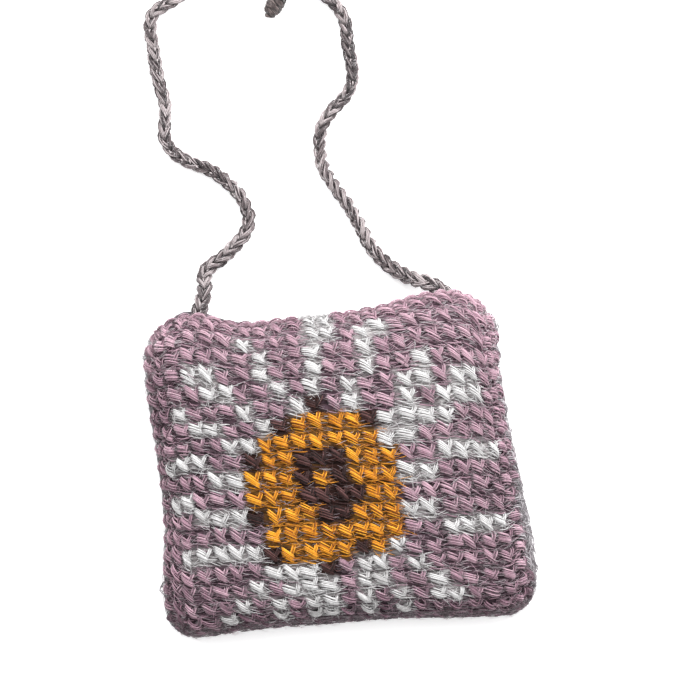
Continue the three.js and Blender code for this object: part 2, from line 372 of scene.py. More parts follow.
def front_rise(x, y):
    """Rise of the front above the waist."""
    crown = np.maximum(0, 1 - (x / HALF_WIDTH) ** 2) * np.maximum(0, 1 - (y / HALF_LENGTH) ** 2)
    rise = SHOULDER_RISE + CROWN_RISE * crown
    for fold in FOLDS:
        across = (x - fold["x"]) / fold["wide"]
        up = (y - fold["y"]) / fold["tall"]
        rise = rise - fold["deep"] * np.exp(-across * across - up * up)
    return rise


class Fabric:
    """One panel's outside as a grid over stitch columns and rows."""

    FIRST_COLUMN, LAST_COLUMN = -5.0, 25.0
    FIRST_ROW, LAST_ROW = -1.5, 21.0
    FINE = 8

    def __init__(self, turn, lip_column):
        self.turn, self.front = turn, turn > 0
        self.lip = spline(ENDS, "x", lip_column)
        self.angles = np.radians(np.linspace(90, -90, 361))[::turn]
        up = np.where(self.angles > 0, SHOULDER_RISE + CROWN_RISE / 4, WAIST) * np.sin(self.angles)
        self.runs = run_lengths(stack(EDGE_ROUND * np.cos(self.angles), up))
        self.reach = LIP_REACH if self.front else 0.0
        self.lip_run = self.edge_run(LIP_ANGLE) if self.front else 0.0
        self.flat = MIDDLE_LENGTH - EDGE_ROUND - self.reach
        columns = np.arange(self.FIRST_COLUMN, self.LAST_COLUMN + 0.5 / self.FINE, 1 / self.FINE)
        rows = np.arange(self.FIRST_ROW, self.LAST_ROW + 0.5 / self.FINE, 1 / self.FINE)
        self.points = self.point(*np.meshgrid(columns, rows))
        by_row, by_column = np.gradient(self.points, axis=(0, 1))
        self.normals = unit(np.cross(by_column, -by_row))

    def left(self, y):
        return left_side(y) + corner_insets(y, foot_line(-FAR), self.lip(-FAR), "foot_left", "mouth_left")

    def right(self, y):
        return right_side(y) - corner_insets(y, foot_line(FAR), self.lip(FAR), "foot_right", "mouth_right")

    def foot(self, x):
        return foot_line(x) + corner_insets(x, left_side(-FAR), right_side(-FAR), "foot_left", "foot_right")

    def mouth(self, x):
        return self.lip(x) - corner_insets(x, left_side(FAR), right_side(FAR), "mouth_left", "mouth_right")

    def edge_angle(self, run):
        """The angle round the edge at an arc length from the flat."""
        return np.interp(run, self.runs, self.angles)

    def edge_run(self, angle):
        """The arc length from the flat at an angle round the edge."""
        return np.interp(-self.turn * angle, -self.turn * self.angles, self.runs)

    def along(self, row):
        """Run, share of the flat and angle of a row, from the lip to the foot."""
        run = (row + 0.5) * ROW
        past_lip = run - self.lip_run
        share = np.clip(1 - past_lip / self.flat, 0, 1)
        angle = self.turn * self.edge_angle(np.maximum(-past_lip, past_lip - self.flat))
        return run, share, np.where((past_lip > 0) & (past_lip < self.flat), QUARTER, angle)

    def y_at(self, row, foot, mouth):
        """How far up a row lies between foot and mouth."""
        run, share, angle = self.along(row)
        flat = foot + EDGE_ROUND + share * (mouth - self.reach - foot - EDGE_ROUND)
        round_foot = foot + EDGE_ROUND * (1 - np.cos(angle))
        round_lip = mouth - self.reach + EDGE_ROUND * np.cos(angle) if self.front else mouth - run
        return np.where(share >= 1, round_lip, np.where(share <= 0, round_foot, flat))

    def side_places(self, row):
        """How far up a row meets the left and the right side."""
        return [self.y_at(row, self.foot(x), self.mouth(x)) for x in (-FAR, FAR)]

    def point(self, column, row):
        """Places on the outside for columns and rows."""
        left_y, right_y = self.side_places(row)
        left, right = self.left(left_y), self.right(right_y)
        low_run = (FLAT_FIRST - column) * COLUMN
        high_run = (column - FLAT_LAST) * COLUMN
        past_flat = np.maximum(low_run, high_run)
        share = (column - FLAT_FIRST) / (FLAT_LAST - FLAT_FIRST)
        angle = np.where(past_flat > 0, self.edge_angle(past_flat), self.turn * QUARTER)
        inset = EDGE_ROUND * (1 - np.cos(angle))
        on_left, on_right = (low_run, high_run) if self.front else (high_run, low_run)
        share = share if self.front else 1 - share
        x = left + EDGE_ROUND + share * (right - left - 2 * EDGE_ROUND)
        x = np.where(on_left > 0, left + inset, np.where(on_right > 0, right - inset, x))
        y = self.y_at(row, self.foot(x), self.mouth(x))
        along = np.clip(np.sin(self.along(row)[2]), -1, 1)
        if self.front:
            above = np.where(along > 0, front_rise(x, y) * np.sin(angle), WAIST) * along
            below = WAIST * np.sin(angle) * np.where(row < LIP_ROWS, 1.0, along)
        else:
            along = np.where(row < 0, 1.0, along)
            above = front_rise(x, y) * np.sin(angle) * along
            below = WAIST * np.sin(angle) * along
        z = WAIST + np.where(angle >= 0, above, below)
        return stack(x, y, z + (SEAM_GAP if self.front else 0.0))

    def edges(self, row):
        """First and last column of the panel in each row, at its seams."""
        left_y, right_y = self.side_places(row)
        angles = [np.radians(seam_left(left_y)), np.radians(seam_right(right_y))]
        first, last = (self.edge_run(angle) for angle in angles[::self.turn])
        return FLAT_FIRST - first / COLUMN, FLAT_LAST + last / COLUMN

    def last_row(self):
        """Row at the foot's seam."""
        return float((self.lip_run + self.flat + self.edge_run(0.0)) / ROW - 0.5)

    def place(self, local):
        """Places of points given across, up and in height."""
        c = (local[..., 0] / COLUMN - self.FIRST_COLUMN) * self.FINE
        r = (-local[..., 1] / ROW - self.FIRST_ROW) * self.FINE
        c = np.clip(c, 0, self.points.shape[1] - 1.001)
        r = np.clip(r, 0, self.points.shape[0] - 1.001)
        ci, ri = c.astype(int), r.astype(int)
        cf, rf = (c - ci)[..., None], (r - ri)[..., None]

        def blend(grid):
            top = grid[ri, ci] * (1 - cf) + grid[ri, ci + 1] * cf
            low = grid[ri + 1, ci] * (1 - cf) + grid[ri + 1, ci + 1] * cf
            return top * (1 - rf) + low * rf

        return blend(self.points) + unit(blend(self.normals)) * local[..., 2:3]


class Drifted:
    """A fabric whose stitches have slid from the even grid."""

    def __init__(self, fabric):
        self.fabric = fabric

    def slide(self, column, row):
        """How far the drifts carry a place, in stitches to the right and down."""
        right, down = np.zeros_like(column), np.zeros_like(row)
        for drift in DRIFTS:
            across = (column - drift["column"]) / drift["wide"]
            along = (row - drift["row"]) / drift["tall"]
            near = np.exp(-across * across - along * along)
            right += drift["right"] * near
            down += drift["down"] * near
        return right, down

    def place(self, local):
        """Places of points given across, up and in height, carried along by the drifts."""
        right, down = self.slide(local[..., 0] / COLUMN, -local[..., 1] / ROW)
        moved = local.copy()
        moved[..., 0] += right * COLUMN
        moved[..., 1] -= down * ROW
        return self.fabric.place(moved)


class Rim:
    """The edge of a panel's mouth, for loops that lie along it."""

    def __init__(self, fabric, depth, lean, drop=0.0):
        self.fabric, self.depth, self.lean, self.edge = fabric, depth, lean, 0.5 * ROW - drop

    def place(self, local):
        """Places of points given along, aside and in height."""
        beyond = local[..., 2] * math.cos(self.lean) - local[..., 1] * math.sin(self.lean)
        out = local[..., 1] * math.cos(self.lean) + local[..., 2] * math.sin(self.lean)
        return self.fabric.place(stack(local[..., 0], self.edge + beyond, out - self.depth))


def along_path(run, runs, values):
    """Values along a path at the given runs."""
    return stack(*(np.interp(run, runs, column) for column in values.T))


class Line:
    """A path with a frame at each step, for what is laid along it."""

    def __init__(self, points, ups):
        self.runs = run_lengths(points)
        self.length = float(self.runs[-1])
        self.points, self.tangents = points, unit(np.gradient(points, axis=0))
        self.sides = unit(np.cross(ups, self.tangents))
        self.ups = np.cross(self.tangents, self.sides)

    def place(self, local):
        """Places of points given along, aside and in height."""
        run = local[..., 0]
        past = (run - np.clip(run, 0, self.length))[..., None]
        point, tangent, side, up = (along_path(run, self.runs, values) for values in
                                    (self.points, self.tangents, self.sides, self.ups))
        return point + past * tangent + local[..., 1:2] * side + local[..., 2:3] * up


def smooth_route(route, step):
    """A centripetal curve through a route's points, at even steps."""
    p = np.array([(*point, LYING)[:3] for point in route], float)
    p = np.vstack([2 * p[0] - p[1], p, 2 * p[-1] - p[-2]])
    knots = np.concatenate([[0.0], np.cumsum(np.sqrt(np.linalg.norm(np.diff(p, axis=0), axis=1)))])

    def blend(t, low, high, start, end):
        return (high - t) / (high - low) * start + (t - low) / (high - low) * end

    out = []
    for i in range(1, len(p) - 2):
        t0, t1, t2, t3 = knots[i - 1:i + 3]
        t = np.linspace(t1, t2, 40, endpoint=False)[:, None]
        before = blend(t, t0, t1, p[i - 1], p[i])
        between = blend(t, t1, t2, p[i], p[i + 1])
        after = blend(t, t2, t3, p[i + 1], p[i + 2])
        out.append(blend(t, t1, t2, blend(t, t0, t2, before, between), blend(t, t1, t3, between, after)))
    dense = np.vstack([*out, p[-2:-1]])
    runs = run_lengths(dense)
    even = np.linspace(0, runs[-1], int(runs[-1] / step) + 1)
    return along_path(even, runs, dense)


def through(points, count):
    """Samples of smooth curves through a few points each."""
    n = points.shape[1]
    slopes = np.gradient(points, axis=1)
    at = np.linspace(0, n - 1, count)
    k = np.clip(at.astype(int), 0, n - 2)
    return hermite((at - k)[None, :, None], points[:, k], points[:, k + 1], slopes[:, k], slopes[:, k + 1])


def side_frames(lines):
    """Tangent, side and lift along lines."""
    tangent = unit(np.gradient(lines, axis=1))
    side = unit(np.cross(UP, tangent))
    return tangent, side, np.cross(tangent, side)


def twist_plies(lines, plies, spread, turns, phase):
    """Each line as a yarn of several plies that twist round it."""
    _, side, lift = side_frames(lines)
    along = np.linspace(0, 1, lines.shape[1])
    out = []
    for k in range(plies):
        angle = (TURN * (k / plies + turns * along)[None, :] + phase[:, None])[..., None]
        out.append(lines + spread * (np.cos(angle) * side + np.sin(angle) * lift))
    return np.concatenate(out, axis=0)


def new_mesh(name, points, faces):
    """A smooth mesh from points and faces."""
    mesh = bpy.data.meshes.new(name)
    mesh.from_pydata(points.tolist(), [], faces)
    mesh.polygons.foreach_set("use_smooth", np.ones(len(faces), bool))
    return mesh


class Strands:
    """Collects tubes and makes them into one mesh piece."""

    TAPER = 0.55

    def __init__(self):
        self.rings, self.tones = [], []

    def add(self, placer, lines, radius, sides, tones):
        """Tubes along local lines, with a tone for each."""
        _, side, lift = side_frames(lines)
        ends = np.ones(lines.shape[1])
        ends[[0, -1]] = self.TAPER
        angles = np.arange(sides) * TURN / sides
        offset = np.cos(angles)[:, None] * side[:, :, None, :] + np.sin(angles)[:, None] * lift[:, :, None, :]
        rings = lines[:, :, None, :] + np.reshape(radius, (-1, 1, 1, 1)) * ends[None, :, None, None] * offset
        self.rings.append(placer.place(rings))
        self.tones.append(np.repeat(tones, lines.shape[1] * sides))

    def piece(self, name, yarn):
        """The tubes as one piece, with tones and a map round and along each."""
        faces, maps = [], []
        base = 0
        for rings in self.rings:
            tubes, count, sides, _ = rings.shape
            index = base + np.arange(tubes * count * sides).reshape(tubes, count, sides)
            base += index.size
            nxt = np.roll(index, -1, axis=2)
            walls = stack(index[:, :-1], nxt[:, :-1], nxt[:, 1:], index[:, 1:])
            caps = np.stack([index[:, 0, ::-1], index[:, -1]], axis=1)
            faces += walls.reshape(-1, 4).tolist() + caps.reshape(-1, sides).tolist()
            i, j = np.meshgrid(np.arange(count - 1), np.arange(sides), indexing="ij")
            u = stack(j, j + 1, j + 1, j) / sides
            v = stack(i, i, i + 1, i + 1) / (count - 1)
            wall_map = np.broadcast_to(stack(u, v), (tubes, count - 1, sides, 4, 2))
            maps += [wall_map.reshape(-1, 2), np.zeros((caps.size, 2))]
        points = np.concatenate([rings.reshape(-1, 3) for rings in self.rings])
        points[:, 2] = np.maximum(points[:, 2], 0.0)
        mesh = new_mesh(name, points, faces)
        tone = mesh.attributes.new("tone", "FLOAT", "POINT")
        tone.data.foreach_set("value", np.concatenate(self.tones).astype(np.float32))
        layer = mesh.uv_layers.new(name="ply")
        layer.data.foreach_set("uv", np.concatenate(maps).astype(np.float32).ravel())
        return add_piece(name, mesh, MATERIALS[yarn], SLOTS.get(yarn, yarn + "_yarn"))


def add_piece(name, mesh, material, slot):
    """A mesh as an object of the pouch with its material; its slot is not used."""
    obj = bpy.data.objects.new(name, mesh)
    bpy.context.scene.collection.objects.link(obj)
    mesh.materials.append(material)
    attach(obj, "root")
    return obj


def charted_yarn():
    """Yarn of each charted stitch, by row and column."""
    yarns = {}
    for line in DAISY:
        for yarn in ("white", "orange", "brown"):
            for part in line.get(yarn, "").split():
                first, _, last = part.partition("-")
                for column in range(int(first), int(last or first) + 1):
                    yarns[line["row"], column] = yarn
    return yarns


# How far stitches, their legs and their plies stray
LEAN_STRAY = 0.10
LEAN_LIMIT = 0.14
SIZE_STRAY = 0.06
LEG_STRAY = 0.00016
STITCH_STRAY = 0.00022
STITCH_TONES = 0.16
PLY_STRAY = 0.10
PLY_TURN = 0.35
PLY_RISE = 0.00006
PLY_SLIP = 0.00028
PLY_TONES = 0.25
LEG_STEPS = 6


def leg_points(leg, centres, rng, yarn):
    """Points of one leg at each stitch's centre, a little uneven."""
    shape = np.array([[p["across"] * COLUMN, p["up"] * ROW, p["height"]] for p in leg])
    n = len(centres)
    lean = yarn["loose"] * np.clip(rng.normal(0, LEAN_STRAY, n), -LEAN_LIMIT, LEAN_LIMIT)
    size = yarn["size"] * (1 + rng.normal(0, yarn["loose"] * SIZE_STRAY, n))
    shift = rng.normal(0, yarn["loose"] * LEG_STRAY, (n, 3))
    x = shape[None, :, 0] * size[:, None] + shape[None, :, 1] * lean[:, None]
    y = shape[None, :, 1] * size[:, None] - shape[None, :, 0] * lean[:, None]
    return stack(x, y, shape[:, 2]) + shift[:, None, :] + centres[:, None, :]


def fan_plies(lines, part, width, rng):
    """Plies side by side over a leg, or one below the other, a little astray."""
    tangent, side, lift = side_frames(lines)
    if part["stacked"]:
        side = np.array([0.0, 1.0, 0.0])
    n, count = lines.shape[:2]
    along = np.linspace(0, 1, count)
    half = width * (part["top"] + (part["low"] - part["top"]) * along)
    out = []
    for k in range(part["plies"]):
        aside = 2 * k / (part["plies"] - 1) - 1 + rng.normal(0, PLY_STRAY, (n, 1)) + PLY_TURN * (along - 0.5)
        rise = part["crown"] * (1 - aside ** 2) + rng.normal(0, PLY_RISE, (n, 1))
        slip = rng.normal(0, PLY_SLIP, (n, 1)) * (1 - along) ** 2
        ply = lines + (aside * half)[..., None] * side + rise[..., None] * lift
        out.append(ply + slip[..., None] * tangent)
    return np.concatenate(out, axis=0)


# The last rows at the foot are sunk and coloured darker as painted shade, and the yarn is coloured lighter at
# the mouth and the upper right as painted light
FOOT_SHADE = 0.24
SHADED_FROM = 15
SHADED_ROWS = 3
FOOT_SINK = 0.0005
CORNER_LIGHT = 0.15
LIT_FROM = 9
MOUTH_LIGHT = 0.25
MOUTH_ROWS = 4.5


def painted_light_and_shade(columns, rows):
    """Painted light and shade: how much lighter or darker than elsewhere the yarn is coloured, lighter at the
    mouth and the upper right, darker at the foot.
    """
    to_right = np.clip(columns / LIT_FROM - 1, 0, 1)
    to_top = np.clip(1 - rows / LIT_FROM, 0, 1)
    at_mouth = np.clip(1 - rows / MOUTH_ROWS, 0, 1)
    at_foot = np.clip(rows - SHADED_FROM, 0, SHADED_ROWS)
    return CORNER_LIGHT * to_right * np.sqrt(to_top) + MOUTH_LIGHT * at_mouth - FOOT_SHADE * at_foot


def add_stitches(strands, fabric, cells, yarn, parts, base, foot_row, rng):
    """Slanted stitches of one yarn at cells of column and row."""
    cells = np.array(cells, float)
    n = len(cells)
    centres = stack(cells[:, 0] * COLUMN, -cells[:, 1] * ROW, base)
    centres[:, 2] -= FOOT_SINK * np.clip(cells[:, 1] - foot_row, 0, 1)
    centres[:, :2] += rng.normal(0, STITCH_STRAY * yarn["loose"], (n, 2))
    # Painted light and shade: each stitch's random tone is raised at the mouth and the upper right and
    # lowered at the foot
    stitch_tone = rng.uniform(-STITCH_TONES, STITCH_TONES, n) + painted_light_and_shade(cells[:, 0], cells[:, 1])
    for part in parts:
        lines = through(leg_points(part["points"], centres, rng, yarn), LEG_STEPS)
        lines = fan_plies(lines, part, yarn["width"], rng)
        tones = np.tile(stitch_tone, part["plies"])
        tones += np.repeat(np.where(np.arange(part["plies"]) % 2, -PLY_TONES, PLY_TONES), n)
        tones += rng.uniform(part["dark"], part["light"], len(lines))
        strands.add(fabric, lines, yarn["ply"], 4, np.clip(tones, 0, 1))


# Strands of the carried yarns, more of them dark than light
HAIR_SKEW = 1.3
# How strongly the painted light at the mouth and the upper right lightens the strands
HAIR_PAINTED_LIGHT = 2
HAIR_LENGTHS = (0.0014, 0.0042)
HAIR_PLACE = 0.5
HAIR_STRAY = 0.20
HAIR_TILT = -0.05
HAIR_WAVE = 0.00012
HAIR_RADIUS = 0.00010


def add_hairs(strands, fabric, cells, each, low, high, tones, rng, astray=0.30):
    """Thin strands that lie along the rows, between two depths."""
    cells = np.repeat(np.array(cells, float), each, axis=0)
    n = len(cells)
    share = np.linspace(-0.5, 0.5, 3)
    along = rng.uniform(*HAIR_LENGTHS, (n, 1)) * share
    x = (cells[:, :1] + rng.normal(HAIR_PLACE, HAIR_STRAY, (n, 1))) * COLUMN + along
    tilt = rng.normal(HAIR_TILT, astray, (n, 1))
    y = -(cells[:, 1:] + rng.uniform(-0.5, 0.5, (n, 1))) * ROW + along * tilt
    y = y + rng.normal(0, HAIR_WAVE, (n, 3))
    z = rng.uniform(low, high, (n, 1)) + rng.normal(0, HAIR_WAVE, (n, 3))
    low_tone, high_tone = tones
    tone = low_tone + (high_tone - low_tone) * rng.uniform(0, 1, n) ** HAIR_SKEW
    # Painted light: strands are lightened at the mouth and the upper right
    tone += HAIR_PAINTED_LIGHT * np.maximum(painted_light_and_shade(cells[:, 0], cells[:, 1]), 0)
    strands.add(fabric, stack(x, y, z), HAIR_RADIUS, 3, np.clip(tone, 0, 1))


# Loose fibres: headings and arches in radians
FUZZ_HEADING = -0.6
FUZZ_STRAY = 0.9
FUZZ_CURL = 0.5
FUZZ_LENGTHS = (0.0012, 0.0036)
FUZZ_SPREAD = 0.4
FUZZ_BASE = -0.0004
FUZZ_RISES = (0.0001, 0.0011)
FUZZ_ARCHES = (1.5, 3.0)
FUZZ_TONES = (0.3, 1)
FUZZ_RADIUS = 0.000045


def add_fuzz(strands, fabric, cells, each, rng):
    """Loose fibres that stand out from the yarn."""
    cells = np.repeat(np.array(cells, float), each, axis=0)
    n = len(cells)
    share = np.linspace(0, 1, 5)
    heading = rng.normal(FUZZ_HEADING, FUZZ_STRAY, (n, 1)) + rng.normal(0, FUZZ_CURL, (n, 1)) * share
    along = rng.uniform(*FUZZ_LENGTHS, (n, 1)) * share
    x = (cells[:, :1] + rng.uniform(-FUZZ_SPREAD, FUZZ_SPREAD, (n, 1))) * COLUMN + along * np.cos(heading)
    y = -(cells[:, 1:] + rng.uniform(-FUZZ_SPREAD, FUZZ_SPREAD, (n, 1))) * ROW + along * np.sin(heading)
    z = FUZZ_BASE + rng.uniform(*FUZZ_RISES, (n, 1)) * np.sin(share * rng.uniform(*FUZZ_ARCHES, (n, 1)))
    strands.add(fabric, stack(x, y, z), FUZZ_RADIUS, 3, rng.uniform(*FUZZ_TONES, n))


# Each yarn's plies and stitches, and the fibres and strands at a stitch with their lightest tones
YARNS = {row["yarn"]: row for row in table(
    "yarn ply size width loose fuzz depths depth_light carried carried_light",
    ("mauve", 0.00018, 0.96, 1.28, 1.3, 3, 8, 0.7, 12, 1.0),
    ("white", 0.00019, 0.98, 1.30, 1.5, 9, 9, 0.9, 8, 1.0),
    ("orange", 0.00018, 0.95, 1.30, 1.1, 2, 10, 0.5, 6, 0.9),
    ("brown", 0.00019, 1.00, 1.15, 1.3, 3, 10, 1.0, 4, 0.6),
    ("grey", 0.00025, 1.00, 1.00, 1.3),
    ("fine_grey", 0.00016, 1.00, 1.00, 1.8),
)}

# Yarns that share another yarn's slot, and the colours of the fabric behind the stitches: each yarn's colour
# darkened as painted shade for the gaps between stitches
SLOTS = {"carried": "grey_yarn", "tail": "cord_yarn"}
SHADED_DEPTHS = {
    "mauve": (0.10, 0.063, 0.080),
    "white": (0.33, 0.31, 0.31),
    "orange": (0.19, 0.090, 0.022),
    "brown": (0.038, 0.017, 0.014),
    "grey": (0.20, 0.17, 0.19),
}
# Painted light: how much the fabric behind the stitches is lightened at the mouth and the upper right
DEPTH_PAINTED_LIGHT = 3

# Depths of the stitches, and the fabric behind them
FOOT_ROWS = 2.0
FRONT_BASE = -0.0015
BACK_BASE = -0.0017
UNDER_BASE = -0.0022
KNOB_BASE = -0.0010
KNOB_ROWS = 1.5
SHELL_DEPTH = 0.0017
SEAM_SLACK = 0.1
FOOT_SLACK = 0.7
SHELL_COLUMNS = 60
SHELL_ROWS = 54


def panel_cells(fabric):
    """Columns and rows of the stitches that lie within a panel's seams."""
    cells = []
    for row in range(int(fabric.last_row() + FOOT_SLACK) + 1):
        first, last = fabric.edges(float(row))
        for column in range(math.ceil(first - SEAM_SLACK), math.floor(last + SEAM_SLACK) + 1):
            cells.append((column, row))
    return cells


def shell(name, fabric, colours, material, slot, node):
    """The fabric behind the stitches as a closed wall from seam to seam."""
    rows = np.linspace(-0.5, fabric.last_row(), SHELL_ROWS + 1)
    first, last = fabric.edges(rows)
    share = np.linspace(0, 1, SHELL_COLUMNS + 1)
    columns = first[:, None] + (last - first)[:, None] * share[None, :]
    x = columns * COLUMN
    y = -rows[:, None] * ROW
    outside, inside = (fabric.place(stack(x, y, -depth)).reshape(-1, 3) for depth in (SHELL_DEPTH, WALL))
    index = np.arange(x.size).reshape(x.shape)
    outer = stack(index[:-1, :-1], index[1:, :-1], index[1:, 1:], index[:-1, 1:]).reshape(-1, 4)
    inner = outer[:, ::-1] + len(outside)
    loop = np.concatenate([index[0, :-1], index[:-1, -1], index[-1, :0:-1], index[:0:-1, 0]])
    nxt = np.roll(loop, -1)
    rim = stack(loop, nxt, nxt + len(outside), loop + len(outside))
    mesh = new_mesh(name, np.vstack([outside, inside]), np.vstack([outer, inner, rim]).tolist())
    depth = mesh.attributes.new("depth", "FLOAT_COLOR", "POINT")
    # Painted shade: the wall takes the darkened colours of the yarns in front of it
    tint = colours(columns, np.broadcast_to(rows[:, None], columns.shape)).reshape(-1, 3)
    tint = np.hstack([np.vstack([tint, tint]), np.ones((2 * len(tint), 1))])
    depth.data.foreach_set("color", tint.astype(np.float32).ravel())
    obj = add_piece(name, mesh, material, slot)
    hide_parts(node)
    return obj


def rim_columns(fabric):
    """Columns of the loops along a panel's mouth."""
    first, last = fabric.edges(-0.5)
    return np.arange(math.ceil(first), math.floor(last) + 1)


# Ridges of the rows on the inside
INNER_ROWS = 10
INNER_MARGIN = 0.6
INNER_STEP = 1 / 3
INNER_WAVE = 0.12
INNER_DEPTH = 0.0001
INNER_BEAT = 0.0003
INNER_SPREAD = 0.0006
INNER_PLY = 0.0007
INNER_TONES = (0.1, 0.8)


def add_inner_rows(strands, fabric, rng):
    """Ridges of the rows on the inside of a panel, near the mouth."""
    for row in range(INNER_ROWS):
        first, last = fabric.edges(float(row))
        column = np.arange(first + INNER_MARGIN, last - INNER_MARGIN, INNER_STEP)
        beat = np.cos(TURN * column)
        y = -(row + INNER_WAVE * beat) * ROW
        z = -WALL - INNER_DEPTH - INNER_BEAT * beat
        lines = stack(column * COLUMN, y, z)[None]
        lines = twist_plies(lines, 2, INNER_SPREAD, len(column) / 3, np.zeros(1))
        strands.add(fabric, lines, INNER_PLY, 4, rng.uniform(*INNER_TONES, 2))


# A cord's core, coloured at the darkest tone as painted shade in its grooves, the bright bits of painted
# glint in its groove, and its sewn end
CORE_STEP = 0.0015
CORE_DROP = 0.2
CORE_REACH = 0.6
SPARK_LENGTHS = (0.0007, 0.0013)
SPARK_PLACES = (0.2, 0.8)
SPARK_STRAY = 0.28
SPARK_SLANT = 0.3
SPARK_HEIGHT = 0.92
SPARK_RADIUS = 0.00022
PAINTED_SPARK_TONE = 1.3
SEWN_RUNS = np.array([0.0004, 0.0014, 0.0024])
SEWN_SLANT = 0.0004
SEWN_PHASE = 0.7
SEWN_WIDTH = 0.0021
SEWN_HEIGHT = 0.0019
SEWN_PLY = 0.0002


def add_core(strands, line, radius, reach):
    """Yarn that fills the middle of a cord, as far as a reach past its end, at the darkest tone as painted
    shade in the cord's grooves.
    """
    along = np.arange(0.0, line.length + reach, CORE_STEP)
    middle = stack(along, 0.0, -CORE_DROP * radius)
    # Painted shade: the core takes the darkest tone
    strands.add(line, middle[None], radius, 6, np.array([0.0]))


def add_painted_sparks(strands, line, starts, radius, rng):
    """Painted glint: bright bits of yarn in the groove of a cord, one to a link, at the lightest tone."""
    n = len(starts)
    along = rng.uniform(*SPARK_LENGTHS, (n, 1)) * np.linspace(-0.5, 0.5, 3)
    x = starts[:, None] + rng.uniform(*SPARK_PLACES, (n, 1)) * LINK_PITCH + along
    y = rng.normal(0, SPARK_STRAY, (n, 1)) * radius + rng.normal(0, SPARK_SLANT, (n, 1)) * along
    z = SPARK_HEIGHT * radius - 0.5 * np.abs(y)
    # Painted glint: the bits take a tone past the lightest, which the colour ramp holds at its lightest
    # colour
    strands.add(line, stack(x, y, z), SPARK_RADIUS, 4, np.full(n, PAINTED_SPARK_TONE))


def add_sewn_loops(strands, line, rng):
    """Turns of yarn that sew a cord's end to the wall behind it."""
    t = np.tile(np.linspace(0, TURN, 17), (len(SEWN_RUNS), 1))
    along = SEWN_RUNS[:, None] + SEWN_SLANT * np.sin(t + SEWN_PHASE)
    loops = stack(along, SEWN_WIDTH * np.cos(t), SEWN_HEIGHT * np.sin(t))
    plies = twist_plies(loops, 3, SEWN_PLY, 2.0, np.zeros(len(SEWN_RUNS)))
    strands.add(line, plies, SEWN_PLY, 4, rng.uniform(0, 0.8, len(plies)))


def link_lines(shape, starts, pitch, radii, mirror):
    """Local points of one part of each chain link."""
    along = np.array([p["along"] * pitch for p in shape])
    aside = np.array([mirror * p["aside"] for p in shape])
    height = np.array([p["height"] for p in shape])
    return stack(starts[:, None] + along, radii[:, None] * aside, radii[:, None] * height)


def winding(start, end, radii, turns):
    """A spiral wound round a line, with a list of radii."""
    t = np.linspace(0, 1, 40 * abs(turns))
    axis = unit(end - start)
    side = unit(np.cross(UP, axis))
    radius = np.interp(t, np.linspace(0, 1, len(radii)), radii)[:, None]
    angle = (TURN * turns * t)[:, None]
    out = np.cos(angle) * side + np.sin(angle) * np.cross(axis, side)
    return Line(start + (end - start) * t[:, None] + radius * out, out)


# Plies of a chain link, and how a cord swells at its foot
CHAIN_PLY = 0.00016
CHAIN_PLIES = 7
CHAIN_STEPS = 7
PLY_SPREAD = 3.0
PLY_CONTRAST = 1.5
LINK_TONES = (-0.22, 0.18)
LINK_STRAY = 0.00006
LINK_TWIST = 0.3
FOOT_REACH = 0.025
FOOT_SWELL = 0.25


def add_chain(strands, line, starts, pitch, radius, ply, rng, shapes=CORD_SHAPES, foot=0.0, painted_shading=0.0):
    """Chain stitch along a path, its links made of the given shapes."""
    near_foot = foot * np.exp(-(starts / FOOT_REACH) ** 2)
    radii = radius * (1 + near_foot)
    plies = ply * (1 + near_foot)
    # Painted light and shade: each link's random tone is shifted by a given amount, lighter or darker along
    # the chain
    link_tone = rng.uniform(*LINK_TONES, len(starts)) + painted_shading
    for shape, mirror in shapes:
        lines = link_lines(shape, starts, pitch, radii, mirror)
        lines += rng.normal(0, LINK_STRAY, (len(starts), 1, 3))
        lines = through(lines, CHAIN_STEPS)
        phase = rng.uniform(0, TURN, len(starts))
        lines = twist_plies(lines, CHAIN_PLIES, PLY_SPREAD * plies[:, None, None], LINK_TWIST * mirror, phase)
        tones = np.tile(link_tone, CHAIN_PLIES) + 0.5 + PLY_CONTRAST * rng.uniform(-0.5, 0.5, len(lines))
        strands.add(line, lines, np.tile(plies, CHAIN_PLIES), 4, np.clip(tones, 0, 1))


def rolled_line(points, rolls):
    """A path whose upper side rolls about it."""
    _, side, lift = (values[0] for values in side_frames(points[None]))
    share = np.linspace(0, 1, len(points))
    angle = np.interp(share, np.linspace(0, 1, len(rolls)), np.radians(rolls))[:, None]
    return Line(points, np.cos(angle) * lift + np.sin(angle) * side)


def new_material(name):
    """A new material, its node tree and its principled shader."""
    material = bpy.data.materials.new(name)
    material.use_nodes = True
    return material, material.node_tree, material.node_tree.nodes["Principled BSDF"]


def add_node(tree, kind, inputs, **settings):
    """A shader node with its settings and inputs."""
    node = tree.nodes.new("ShaderNode" + kind)
    for name, value in settings.items():
        setattr(node, name, value)
    set_inputs(tree, node, inputs)
    return node


def calc(tree, kind, operation, *values):
    """The outputs of a math node over values and other nodes' outputs."""
    return add_node(tree, kind, dict(enumerate(values)), operation=operation).outputs


def scaled(tree, colour, value, ranges):
    """A colour made lighter or darker by a value, which is mapped from one range to another."""
    scale = add_node(tree, "MapRange", {"Value": value} | ranges).outputs["Result"]
    return add_node(tree, "VectorMath", {0: colour, "Scale": scale}, operation="SCALE").outputs["Vector"]


def set_inputs(tree, node, inputs):
    """Values or links for a node's inputs."""
    for key, value in inputs.items():
        if isinstance(value, bpy.types.NodeSocket):
            tree.links.new(value, node.inputs[key])
        else:
            node.inputs[key].default_value = value


# Yarn fibres wind round each ply and along it, with painted shade in the grooves between them, and the
# painted glint specks are as fine as a speck
FIBRE_WINDS = (4 * TURN, 3 * TURN, 0)
SPECK = (0.00018, 0.00018, 0.00018)
PAINTED_GLINT = (0.58, 0.56, 0.57, 1)
PATCH = 0.5


